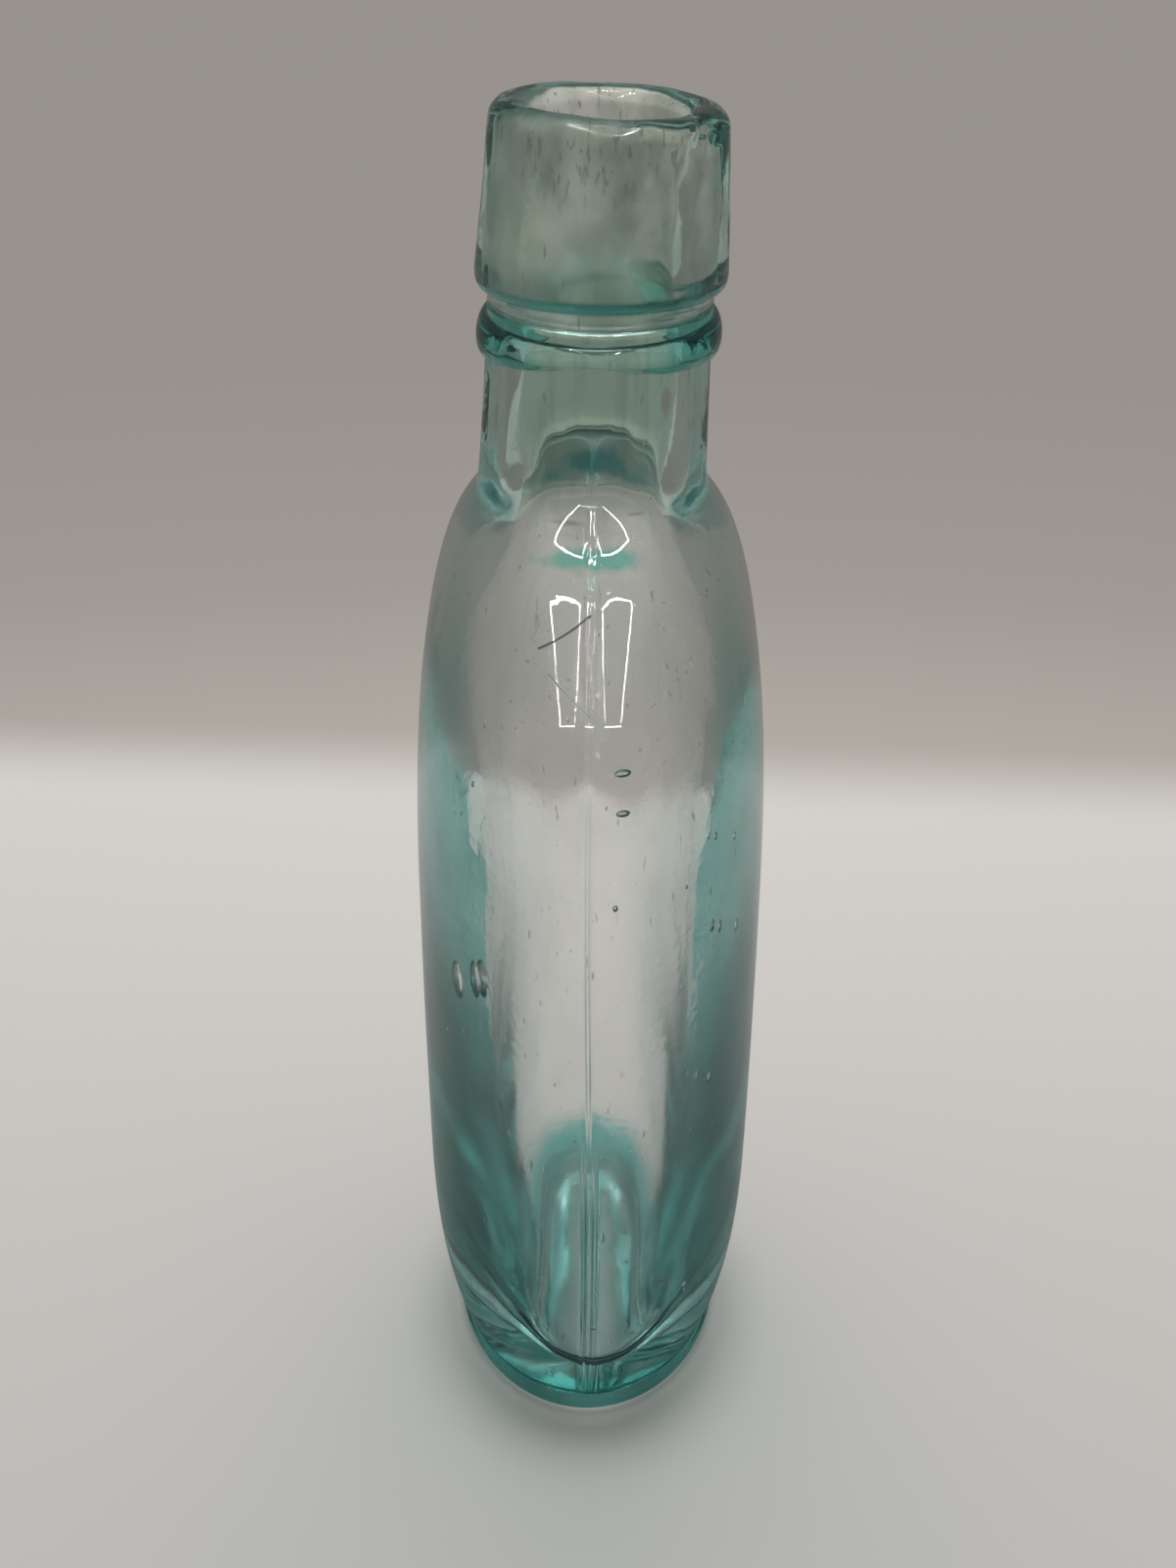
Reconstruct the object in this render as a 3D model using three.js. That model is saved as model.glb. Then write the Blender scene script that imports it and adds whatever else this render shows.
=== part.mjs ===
// Spirit flask of aqua glass, blown in a two-leaf mould, with its mouth open.
// The body is one blown bubble with its neck. A trail of glass is wound round the neck as a
// ring, and a second gather, squeezed into a tapered collar, sits on the neck's open end.
// Millimetres, +Z up, origin on the floor under the middle of the base. The broad faces look
// along Y and the narrow sides, where the mould's seams run, look along X.

import * as THREE from "three";

// Whole flask
const overallHeight = 165;
const finishLean = 2.2; // degrees that the neck leans towards +Y
const rimTilt = 2.4; // degrees that the lip drops on its +Y side

// Foot and base
const baseWidth = 55.2;
const baseDepth = 35.2;
const footHeight = 2;
const footEdge = 0.5; // rounding under the foot's edge
const footGroove = 0.5; // depth of the line round the top of the foot
const grooveHeight = 1.2;
const restBand = 5; // width of the flat band that the flask stands on
const pushUp = 2.5; // rise of the hollow under the base
const floorThickness = 7.2;
const bowlRise = 5; // height over which the inside floor curves up into the wall

// Sides
const bodyWidth = 82.4;
const bodyDepth = 43.4;
const heelHeight = 28;
const heelBend = 14; // height that the heel's curve turns about
const sideTaper = 9.2; // how much narrower each narrow side is at the heel
const faceTaper = 0.7; // how much each broad face draws in at the heel
const sideFullness = 0.65; // how far up the side its curve bends: 1 is straight
const bodySquareness = 2.3; // 2 is a true oval, and more is squarer
const sideWall = 2.2; // glass on the narrow sides, which the blowing stretched most
const heelFaceWall = 5.8; // glass on the broad faces, low down
const faceWall = 4.5; // glass on the broad faces where the flask is widest

// Shoulder
const shoulderRise = 30.8; // from the widest place to the neck, on the narrow sides
const shoulderRoundness = 0.65; // how far up its rise the shoulder bends: 1 is squarest
const shoulderSlope = 6.5; // how far out from the neck the shoulder starts to fall
const shoulderFall = 4.8; // how far it has fallen there
const faceDrop = 3.1; // how much lower the broad faces meet the neck
const faceRise = 45.7; // from the thickest place to the neck, on the broad faces
const faceRoundness = 0.96;
const faceFillet = 0.6; // height of the turn from the broad faces into the neck
const insideDrop = 4.2; // how much lower the shoulder is inside

// Neck
const neckLength = 20.6;
const neckBaseDiameter = 27.3;
const neckDiameter = 26.2;
const neckWall = 4.5;

// Ring wound round the neck
const ringHeight = 5.4;
const ringStand = 1.2; // how far it stands out of the neck
const ringGap = 1.6; // bare neck between the ring and the collar
const ringSeatDepth = 0.9;
const ringClearance = 0.1;

// Collar on the neck's end
const collarHeight = 21.6;
const collarStand = 1.55; // how far its lower edge stands out of the neck
const collarTopStand = 0.5; // how far its top does
const collarFlare = 2.4; // height of the round under its lower edge
const mouthDiameter = 17.5;
const lipRise = 2.6; // height of the lip's rounded top

// Fineness of the curves
const roundSegments = 48;
const curveSteps = 48;
const heelRows = 5;
const sideRows = 5;
const shoulderRows = 13;
const bowlRows = 6;
const domeRows = 3;
const finishSteps = 6;

// What follows from the sizes above
const neckRadius = neckDiameter / 2;
const neckBaseRadius = neckBaseDiameter / 2;
const boreRadius = neckRadius - neckWall;
const grooveTop = footHeight + grooveHeight;
const neckEndHeight = overallHeight - collarHeight;
const ringTop = neckEndHeight - ringGap;
const ringBottom = ringTop - ringHeight;
const neckBaseHeight = neckEndHeight - neckLength;
const widestHeight = neckBaseHeight - shoulderRise;
const neckFaceHeight = neckBaseHeight - faceDrop;
const thickestHeight = neckFaceHeight - faceRise;

// Outline of one side of the body, as half sizes against height, from the foot to the neck's end.
// The side leaves the heel along its taper and turns upright at the widest place. The shoulder
// leaves that place upright and comes to the neck from the point meet.
function sideOutline(side) {
  const { footHalf, heelHalf, widestHalf, widestUp, roundness, meet, neckUp } = side;
  const sideKnee = THREE.MathUtils.lerp(heelHeight, widestUp, sideFullness);
  const shoulderKnee = THREE.MathUtils.lerp(widestUp, neckUp, roundness);
  const taper = (widestHalf - heelHalf) / (sideKnee - heelHeight);
  const path = new THREE.Path();
  path.moveTo(footHalf, 0);
  path.lineTo(footHalf, grooveTop);
  path.quadraticCurveTo(heelHalf - taper * (heelHeight - heelBend), heelBend, heelHalf, heelHeight);
  path.quadraticCurveTo(widestHalf, sideKnee, widestHalf, widestUp);
  path.bezierCurveTo(widestHalf, shoulderKnee, meet.x, meet.y, neckBaseRadius, neckUp);
  path.lineTo(neckRadius, ringBottom);
  path.lineTo(neckRadius, neckEndHeight);
  return path.getPoints(curveSteps);
}

const acrossOutline = sideOutline({
  footHalf: baseWidth / 2,
  heelHalf: bodyWidth / 2 - sideTaper,
  widestHalf: bodyWidth / 2,
  widestUp: widestHeight,
  roundness: shoulderRoundness,
  meet: new THREE.Vector2(neckBaseRadius + shoulderSlope, neckBaseHeight - shoulderFall),
  neckUp: neckBaseHeight,
});
const deepOutline = sideOutline({
  footHalf: baseDepth / 2,
  heelHalf: bodyDepth / 2 - faceTaper,
  widestHalf: bodyDepth / 2,
  widestUp: thickestHeight,
  roundness: faceRoundness,
  meet: new THREE.Vector2(neckBaseRadius, neckFaceHeight - faceFillet),
  neckUp: neckFaceHeight,
});

// Half size of an outline at a height.
function halfAt(outline, up) {
  const found = outline.findIndex((point) => point.y >= up);
  const next = Math.max(found, 1);
  const low = outline[next - 1];
  const high = outline[next];
  const share = high.y > low.y ? (up - low.y) / (high.y - low.y) : 1;
  return THREE.MathUtils.lerp(low.x, high.x, share);
}

// How far up the shoulder a height is: 0 at the widest place and 1 at the neck.
function shoulderShare(up) {
  return THREE.MathUtils.smoothstep(up, widestHeight, neckBaseHeight);
}

// How square the section is at a height: a true oval at the foot and a circle at the neck.
function squareAt(up) {
  const sides = THREE.MathUtils.smoothstep(up, 0, heelHeight) - shoulderShare(up);
  return THREE.MathUtils.lerp(2, bodySquareness, sides);
}

// A level section of the body, drawn in from its outside by a distance.
function bodyRow(up, inset) {
  const across = halfAt(acrossOutline, up) - inset;
  const deep = halfAt(deepOutline, up) - inset;
  return { across, deep, up, square: squareAt(up) };
}

// The inside's section for a height: the broad faces thin upwards, and the wall comes to the
// neck's as the shoulder rises.
function insideRow(up) {
  const share = shoulderShare(up);
  const thinning = THREE.MathUtils.smoothstep(up, 0, widestHeight);
  const face = THREE.MathUtils.lerp(heelFaceWall, faceWall, thinning);
  const across = halfAt(acrossOutline, up) - THREE.MathUtils.lerp(sideWall, neckWall, share);
  const deep = halfAt(deepOutline, up) - THREE.MathUtils.lerp(face, neckWall, share);
  return { across, deep, up: up - insideDrop * share, square: squareAt(up) };
}

// The same section made larger or smaller and set at another height.
function scaledRow(row, share, up) {
  return { ...row, across: row.across * share, deep: row.deep * share, up };
}

// A round section.
function roundRow(radius, up) {
  return { across: radius, deep: radius, up, square: 2 };
}

// Heights of the sections from the foot's groove up to the foot of the neck, closer together
// where the shoulder turns.
function sideHeights() {
  const heights = [];
  for (let i = 0; i < heelRows; i += 1) {
    heights.push(THREE.MathUtils.lerp(grooveTop, heelHeight, i / heelRows));
  }
  for (let i = 0; i < sideRows; i += 1) {
    heights.push(THREE.MathUtils.lerp(heelHeight, widestHeight, i / sideRows));
  }
  for (let i = 0; i <= shoulderRows; i += 1) {
    const share = Math.sin((Math.PI / 2) * (i / shoulderRows));
    heights.push(THREE.MathUtils.lerp(widestHeight, neckBaseHeight, share));
  }
  return heights;
}

// A solid from level sections, in order round its cut profile: turned first, then each ring of
// points is set to its oval, and what is above the shoulder takes the finish's lean and tilt.
function turnedSolid(rows) {
  const profile = rows.map((row) => new THREE.Vector2(row.across, row.up));
  const geometry = new THREE.LatheGeometry(profile, roundSegments);
  const position = geometry.getAttribute("position");
  const lean = Math.tan(THREE.MathUtils.degToRad(finishLean));
  const tilt = Math.tan(THREE.MathUtils.degToRad(rimTilt));
  for (let i = 0; i < position.count; i += 1) {
    const row = rows[i % rows.length];
    const turn = (Math.floor(i / rows.length) / roundSegments) * 2 * Math.PI;
    const x = row.across * squared(Math.sin(turn), row.square);
    const y = -row.deep * squared(Math.cos(turn), row.square);
    const above = Math.max(row.up - neckBaseHeight, 0);
    const inCollar = Math.max(row.up - neckEndHeight, 0) / (overallHeight - neckEndHeight);
    position.setXYZ(i, x, y + above * lean, row.up - y * tilt * inCollar);
  }
  geometry.computeVertexNormals();
  return geometry;
}

// A sine or cosine reshaped so that the section is squarer than an oval.
function squared(value, square) {
  return Math.sign(value) * Math.abs(value) ** (2 / square);
}

// The blown body: hollow under the base, foot, sides, shoulder and neck, then down the inside.
function flaskBodyGeometry() {
  const foot = bodyRow(0, 0);
  const rest = bodyRow(0, restBand);
  const rows = [];
  for (let i = 0; i <= domeRows; i += 1) {
    const share = i / domeRows;
    rows.push(scaledRow(rest, share, pushUp * (1 - share * share)));
  }
  rows.push(bodyRow(0, footEdge));
  rows.push({ ...foot, up: footEdge });
  rows.push(bodyRow(footHeight, 0));
  rows.push(bodyRow(footHeight + grooveHeight / 2, footGroove));
  const heights = sideHeights();
  heights.forEach((up) => rows.push(bodyRow(up, 0)));

  rows.push(roundRow(neckRadius, ringBottom));
  rows.push(roundRow(neckRadius - ringSeatDepth, ringBottom));
  rows.push(roundRow(neckRadius - ringSeatDepth, ringTop));
  rows.push(roundRow(neckRadius, ringTop));
  rows.push(roundRow(neckRadius, neckEndHeight));
  rows.push(roundRow(boreRadius, neckEndHeight));
  rows.push(roundRow(boreRadius, ringBottom));

  const bowlTop = floorThickness + bowlRise;
  const inside = heights.filter((up) => up > bowlTop).reverse();
  inside.forEach((up) => rows.push(insideRow(up)));
  const bowl = insideRow(bowlTop);
  for (let i = bowlRows; i >= 0; i -= 1) {
    const turn = (Math.PI / 2) * (i / bowlRows);
    rows.push(scaledRow(bowl, Math.sin(turn), bowlTop - bowlRise * Math.cos(turn)));
  }
  return turnedSolid(rows);
}

// The trail of glass round the neck, seated in a shallow band on it.
function stringRingGeometry() {
  const low = ringBottom + ringClearance;
  const high = ringTop - ringClearance;
  const inner = neckRadius - ringSeatDepth + ringClearance;
  const bulge = neckRadius + (4 / 3) * ringStand;
  const path = new THREE.Path();
  path.moveTo(inner, low);
  path.lineTo(neckRadius, low);
  path.bezierCurveTo(bulge, low, bulge, high, neckRadius, high);
  path.lineTo(inner, high);
  path.lineTo(inner, low);
  return turnedSolid(path.getPoints(finishSteps).map((point) => roundRow(point.x, point.y)));
}

// The collar, from the neck's end up its tapered side, over the lip and down the mouth.
function collarGeometry() {
  const lower = neckRadius + collarStand;
  const upper = neckRadius + collarTopStand;
  const mouth = mouthDiameter / 2;
  const lipFoot = overallHeight - lipRise;
  const lipPull = overallHeight + lipRise / 3;
  const path = new THREE.Path();
  path.moveTo(boreRadius, neckEndHeight);
  path.lineTo(neckRadius, neckEndHeight);
  path.quadraticCurveTo(lower, neckEndHeight, lower, neckEndHeight + collarFlare);
  path.lineTo(upper, lipFoot);
  path.bezierCurveTo(upper, lipPull, mouth, lipPull, mouth, lipFoot);
  path.lineTo(boreRadius, neckEndHeight);
  return turnedSolid(path.getPoints(finishSteps).map((point) => roundRow(point.x, point.y)));
}

// One named piece with a glass material of its own.
function glassPiece(name, geometry, colour) {
  const material = new THREE.MeshStandardMaterial({ color: colour, roughness: 0.08, metalness: 0 });
  const mesh = new THREE.Mesh(geometry, material);
  mesh.name = name;
  return mesh;
}

const flask = new THREE.Group();
flask.name = "spirit_flask";
flask.add(glassPiece("flask_body", flaskBodyGeometry(), "#a9cdc4"));
flask.add(glassPiece("string_ring", stringRingGeometry(), "#7fb3aa"));
flask.add(glassPiece("collar", collarGeometry(), "#8fbfb6"));

export default flask;
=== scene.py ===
import math
import bpy
import numpy as np
from mathutils import Matrix, Vector, noise


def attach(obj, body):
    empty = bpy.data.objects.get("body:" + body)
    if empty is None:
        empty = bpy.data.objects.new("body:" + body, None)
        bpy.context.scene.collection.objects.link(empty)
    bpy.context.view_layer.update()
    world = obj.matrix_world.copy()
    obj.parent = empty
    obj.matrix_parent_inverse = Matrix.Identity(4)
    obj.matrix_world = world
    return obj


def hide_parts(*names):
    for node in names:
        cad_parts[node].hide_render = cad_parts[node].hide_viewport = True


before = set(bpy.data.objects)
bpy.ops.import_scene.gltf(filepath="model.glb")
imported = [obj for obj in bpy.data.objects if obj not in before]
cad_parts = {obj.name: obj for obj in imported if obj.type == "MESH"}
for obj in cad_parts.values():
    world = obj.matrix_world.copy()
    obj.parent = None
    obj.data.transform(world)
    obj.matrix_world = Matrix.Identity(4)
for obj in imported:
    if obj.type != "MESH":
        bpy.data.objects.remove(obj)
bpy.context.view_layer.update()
scene = bpy.context.scene
scene.view_settings.view_transform = "Standard"
millimetre = 0.001
print("frame loaded")

# Camera at the photograph's place: metres, degrees and a lens on a 36 mm sensor
cameraValues = {
    "place": (0.3045, 0.0, 0.2465),
    "pitch": 28.8,
    "yaw": -0.05,
    "roll": 0.4,
    "lens": 63.0,
    "sensor": 36.0,
    "clip": 0.01,
}


# Two directions turned in their plane
def turned(first, second, angle):
    return first * math.cos(angle) + second * math.sin(angle), second * math.cos(angle) - first * math.sin(angle)


def makeCamera(values):
    pitch = math.radians(values["pitch"])
    forward = Vector((-math.cos(pitch), 0, -math.sin(pitch)))
    right = Vector((0, 1, 0))
    forward, right = turned(forward, right, math.radians(values["yaw"]))
    right, up = turned(right, right.cross(forward), math.radians(values["roll"]))
    data = bpy.data.cameras.new("photoCamera")
    data.lens = values["lens"]
    data.sensor_width = values["sensor"]
    data.sensor_fit = "VERTICAL"
    data.sensor_height = values["sensor"]
    data.clip_start = values["clip"]
    camera = bpy.data.objects.new("photoCamera", data)
    axes = Matrix((right, up, -forward)).transposed().to_4x4()
    camera.matrix_world = Matrix.Translation(Vector(values["place"])) @ axes
    scene.collection.objects.link(camera)
    scene.camera = camera


makeCamera(cameraValues)
print("camera placed")


# Shape helpers, all in millimetres
def curve(points, steps):
    share = np.linspace(0, 1, steps + 1)[:, None]
    level = [np.array(point, float) for point in points]
    while len(level) > 1:
        level = [a * (1 - share) + b * share for a, b in zip(level[:-1], level[1:])]
    return level[0]


def smooth(value, low, high):
    share = np.clip((value - low) / (high - low), 0, 1)
    return share * share * (3 - 2 * share)


def blend(a, b, share):
    return a + (b - a) * share


def bell(value, middle, width):
    return np.exp(-((value - middle) / width) ** 2)


# Angles round the glass, counted from the seam that faces the camera and close together at both seams
columnValues = {
    "atSeam": (0, 0.004, 0.008, 0.012, 0.016, 0.021, 0.027, 0.035, 0.046, 0.06, 0.08, 0.105),
    "step": 0.034,
}


def columnAngles():
    quarter = list(columnValues["atSeam"])
    while quarter[-1] < math.pi / 2:
        quarter.append(quarter[-1] + columnValues["step"])
    quarter = np.array(quarter) * (math.pi / 2) / quarter[-1]
    half = np.concatenate([quarter, math.pi - quarter[-2::-1]])
    return np.concatenate([half[:-1], math.pi + half[:-1]])


columns = columnAngles()


# A level section: half sizes across and deep, how square it is, and its height
def section(across, deep, square, up):
    c, s = np.cos(columns), np.sin(columns)
    x = across * np.sign(c) * np.abs(c) ** (2 / square)
    y = deep * np.sign(s) * np.abs(s) ** (2 / square)
    return np.stack([x, y, np.full(len(columns), up)], 1)


# Soft waves over a surface: their size across, deep and up, and a seed
def ripple(points, size, seed):
    scaled = points.reshape(-1, 3) / np.array(size) + np.array((0, 0, seed))
    return np.array([noise.noise(Vector(point)) for point in scaled]).reshape(points.shape[:-1])


# Outward directions on a grid of rows and columns
def gridNormals(grid, closed):
    along = np.roll(grid, -1, 1) - np.roll(grid, 1, 1)
    if closed:
        up = np.roll(grid, -1, 0) - np.roll(grid, 1, 0)
    else:
        up = np.gradient(grid, axis=0)
    normal = np.cross(along, up)
    return normal / np.maximum(np.linalg.norm(normal, axis=2, keepdims=True), 1e-9)


# Faces between the rows of a grid, whose last row may join its first
def gridFaces(rows, cols, closed):
    faces = []
    last = rows if closed else rows - 1
    for r in range(last):
        low, high = r * cols, ((r + 1) % rows) * cols
        for c in range(cols):
            n = (c + 1) % cols
            faces.append((low + c, low + n, high + n, high + c))
    return faces


# Faces from the first or the last row of a grid to a point
def poleFaces(cols, ring, pole, first):
    faces = []
    for c in range(cols):
        n = (c + 1) % cols
        faces.append((pole, ring + n, ring + c) if first else (ring + c, ring + n, pole))
    return faces


# A smooth mesh that also knows, point by point, how far it belongs to the outside
def makeMesh(name, points, faces, outside):
    mesh = bpy.data.meshes.new(name)
    mesh.from_pydata((np.asarray(points) * millimetre).tolist(), [], faces)
    mesh.polygons.foreach_set("use_smooth", [True] * len(mesh.polygons))
    shares = mesh.attributes.new("outside", "FLOAT", "POINT").data
    shares.foreach_set("value", np.asarray(outside, np.float32))
    mesh.validate()
    mesh.update()
    piece = bpy.data.objects.new(name, mesh)
    scene.collection.objects.link(piece)
    return piece


# Values that the three pieces share
flaskValues = {
    "height": 165.0,
    "collarHeight": 21.6,
    "neckLength": 20.6,
    "neckDiameter": 26.2,
    "neckBaseDiameter": 27.3,
    "neckWall": 4.5,
    "lean": 2.2,
    "rimTilt": 2.4,
}
neckEnd = flaskValues["height"] - flaskValues["collarHeight"]
neckBase = neckEnd - flaskValues["neckLength"]
neckRadius = flaskValues["neckDiameter"] / 2
boreRadius = neckRadius - flaskValues["neckWall"]


# The neck leans towards +Y and the lip drops on that side
def leaned(grid):
    moved = grid.copy()
    up, y = grid[..., 2], grid[..., 1]
    share = np.maximum(up - neckEnd, 0) / flaskValues["collarHeight"]
    moved[..., 1] = y + np.maximum(up - neckBase, 0) * math.tan(math.radians(flaskValues["lean"]))
    moved[..., 2] = up - y * math.tan(math.radians(flaskValues["rimTilt"])) * share
    return moved


# Blown body: half sizes across and deep, heights, walls low and high, inside bottom, foot, seams and waves
bodyValues = {
    "baseHalf": (27.6, 17.4),
    "heelHalf": (32.0, 21.0),
    "widestHalf": (41.2, 21.7),
    "widestUp": (neckBase - 30.8, neckBase - 3.1 - 45.7),
    "neckUp": (neckBase, neckBase - 3.1),
    "roundness": (0.65, 0.96),
    "meet": ((20.15, neckBase - 4.8), (13.65, neckBase - 3.7)),
    "heelHeight": 28.0,
    "heelBend": (14.0, 10.0),
    "sideFullness": 0.65,
    "squareness": 2.3,
    "grooveTop": 3.2,
    "ringBottom": neckEnd - 7.0,
    "sideWall": (2.0, 2.4),
    "faceWall": (5.8, 4.5),
    "wallHeights": (20.0, 100.0),
    "heelWall": (0.0, 0.8),
    "heelWallHeights": (8.0, 42.0),
    "insideSquareness": (3.2, 2.3),
    "insideSquareHeights": (16.0, 84.0),
    "insideDrop": 4.2,
    "insideSoftness": 12.0,
    "outsideSoftness": 4.5,
    "softReach": 10.0,
    "floorThickness": 4.0,
    "floorSquareness": 3.4,
    "floorSquareFade": 6,
    "bowlRise": 7.0,
    "bowlSquareness": 2.8,
    "troughLift": 14.0,
    "troughLimit": 1.2,
    "troughHeights": (8.0, 66.0),
    "troughAside": 0.8,
    "troughPower": 2.0,
    "pushUp": 1.4,
    "restBand": 5.0,
    "footRound": ((3.5, 0), (2.0, 0), (0.9, 0.05), (0.45, 0.2), (0.15, 0.5), (0.0, 0.9), (0, 1.5),
                  (0.1, 1.9), (0.4, 2.3), (0.5, 2.6), (0.4, 2.9)),
    "neckInsets": (1.5, 3.0),
    "rowCounts": (30, 62, 44, 22),
    "underRows": 12,
    "bowlRows": 25,
    "seamHeights": (0.24, 0.22),
    "seamEnds": (2.6, 4.5, neckBase - 6.0, neckBase + 2.0),
    "seamSway": (0.25, 19.0),
    "seamWidth": 0.25,
    "seamPair": 0.66,
    "seamPairHeights": (38.0, 58.0),
    "valleyDepth": 1.0,
    "valleyWidth": 2.4,
    "valleyHeights": (94.0, 102.0, 119.0, 123.0),
    "outerWaves": (0.05, 0.4),
    "outerRipple": ((11, 9, 26), 3.1),
    "outerFineRipple": ((4, 4, 11), 7.7),
    "outerWaveFade": (6.0, 3.0),
    "innerWaves": (0.16, 0.16),
    "innerRipple": ((14, 10, 60), 21.4),
    "innerFineRipple": ((3.2, 2.2, 34), 31.9),
    "innerWaveFade": 4.0,
    "floorWaves": 0.25,
    "floorRipple": ((7, 4, 9), 51.3),
    "floorWaveHeights": (10.0, 22.0),
    "underRipple": ((6, 5, 9), 57.9),
    "neckWaves": (0.22, 0.07),
    "neckRipple": ((3.2, 3.2, 16), 71.5),
    "neckWaveHeights": (neckBase - 6.0, neckBase + 3.0, neckEnd - 5.0, neckEnd),
}


# Half size against height, across for axis 0 and deep for axis 1
def sideOutline(axis):
    v = bodyValues
    foot, heel, widest = v["baseHalf"][axis], v["heelHalf"][axis], v["widestHalf"][axis]
    widestUp, neckUp = v["widestUp"][axis], v["neckUp"][axis]
    sideKnee = blend(v["heelHeight"], widestUp, v["sideFullness"])
    shoulderKnee = blend(widestUp, neckUp, v["roundness"][axis])
    taper = (widest - heel) / (sideKnee - v["heelHeight"])
    heelBend = v["heelBend"][axis]
    heelPull = heel - taper * (v["heelHeight"] - heelBend)
    neckBaseRadius = flaskValues["neckBaseDiameter"] / 2
    return np.concatenate([
        [(foot, 0)],
        curve([(foot, v["grooveTop"]), (heelPull, heelBend), (heel, v["heelHeight"])], 40),
        curve([(heel, v["heelHeight"]), (widest, sideKnee), (widest, widestUp)], 60)[1:],
        curve([(widest, widestUp), (widest, shoulderKnee), v["meet"][axis], (neckBaseRadius, neckUp)], 80)[1:],
        [(neckRadius, v["ringBottom"]), (neckRadius, neckEnd)],
    ])


# A running mean that eases the corners of an outline
def eased(levels, half, softness):
    step = levels[1] - levels[0]
    reach = int(softness / step)
    kernel = np.exp(-np.linspace(-2, 2, 2 * reach + 1) ** 2)
    return np.convolve(np.pad(half, reach, "edge"), kernel / kernel.sum(), "valid")


levelStep = 0.2
levels = np.arange(0, neckEnd + levelStep, levelStep)
outlines = [np.interp(levels, *sideOutline(axis).T[::-1]) for axis in (0, 1)]
easing = smooth(levels, bodyValues["widestUp"][0], bodyValues["widestUp"][0] + bodyValues["softReach"])
outlines = [blend(half, eased(levels, half, bodyValues["outsideSoftness"]), easing) for half in outlines]


def shoulderShare(up):
    return smooth(up, bodyValues["widestUp"][0], neckBase)


def outerHalf(axis, up):
    return np.interp(up, levels, outlines[axis])


# Half size of the inside against height, with its corners softened
def innerHalf(axis, up):
    v = bodyValues
    low, high = v["wallHeights"]
    rise = np.clip((levels - low) / (high - low), 0, 1)
    wall = blend(*v[("sideWall", "faceWall")[axis]], rise)
    wall = wall + v["heelWall"][axis] * (1 - smooth(levels, *v["heelWallHeights"]))
    wall = blend(wall, flaskValues["neckWall"], shoulderShare(levels))
    half = np.maximum(outerHalf(axis, levels) - wall, boreRadius)
    return np.interp(up, levels, eased(levels, half, v["insideSoftness"]))


# The mould seam: one ridge above, two close ridges near the heel, and a shallow valley on the shoulder
def seamMove(points):
    v = bodyValues
    up = points[..., 2]
    sway, swayHeight = v["seamSway"]
    y = points[..., 1] - sway * np.sin(up / swayHeight)
    low = 1 - smooth(up, *v["seamPairHeights"])
    single = bell(y, 0, v["seamWidth"])
    pair = bell(y, -v["seamPair"], v["seamWidth"]) + bell(y, v["seamPair"], v["seamWidth"])
    ends = smooth(up, *v["seamEnds"][:2]) * (1 - smooth(up, *v["seamEnds"][2:]))
    ridge = ends * (v["seamHeights"][1] * single * (1 - low) + v["seamHeights"][0] * pair * low)
    start, full, fade, end = v["valleyHeights"]
    valley = np.exp(-np.abs(y) / v["valleyWidth"]) * smooth(up, start, full) * (1 - smooth(up, fade, end))
    return ridge - v["valleyDepth"] * valley


# Rows from under the base (2) over the foot (0), up the outside (1), over the neck's end (0) and down inside (-1)
def bodyRows():
    v = bodyValues
    rows, kinds = [], []

    def add(row, kind):
        rows.append(row)
        kinds.append(kind)

    footAcross, footDeep = v["baseHalf"]
    restAcross, restDeep = footAcross - v["restBand"], footDeep - v["restBand"]
    for share in np.linspace(0, 1, v["underRows"] + 1)[1:]:
        add(section(restAcross * share, restDeep * share, 2, v["pushUp"] * (1 - share ** 2)), 2)
    for inset, up in v["footRound"]:
        add(section(footAcross - inset, footDeep - inset, 2, up), 0)
    heelRows, sideRows, shoulderRows, neckRows = v["rowCounts"]
    heights = np.concatenate([
        np.linspace(v["grooveTop"], v["heelHeight"], heelRows)[:-1],
        np.linspace(v["heelHeight"], v["widestUp"][0], sideRows)[:-1],
        np.linspace(v["widestUp"][0], neckBase, shoulderRows)[:-1],
        np.linspace(neckBase, neckEnd, neckRows),
    ])
    for up in heights:
        square = blend(2.0, v["squareness"], smooth(up, 0, v["heelHeight"]) - shoulderShare(up))
        add(section(outerHalf(0, up), outerHalf(1, up), square, up), 1)
    for inset in v["neckInsets"]:
        add(section(neckRadius - inset, neckRadius - inset, 2, neckEnd), 0)
    bowlTop = v["floorThickness"] + v["bowlRise"]
    for up in heights[heights > bowlTop][::-1]:
        drop = v["insideDrop"] * shoulderShare(up) * (1 - smooth(up, neckBase, neckEnd))
        square = blend(*v["insideSquareness"], smooth(up, *v["insideSquareHeights"]))
        square = blend(square, 2.0, shoulderShare(up))
        add(section(innerHalf(0, up), innerHalf(1, up), square, up - drop), -1)
    across, deep = innerHalf(0, bowlTop), innerHalf(1, bowlTop)
    power = 2 / v["bowlSquareness"]
    for angle in np.linspace(math.pi / 2, 0, v["bowlRows"] + 1)[:-1]:
        share = math.sin(angle) ** power
        square = blend(v["floorSquareness"], v["insideSquareness"][0], share ** v["floorSquareFade"])
        up = bowlTop - v["bowlRise"] * math.cos(angle) ** power
        add(section(across * share, deep * share, square, up), -1)
    return np.array(rows), np.array(kinds)


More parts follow.
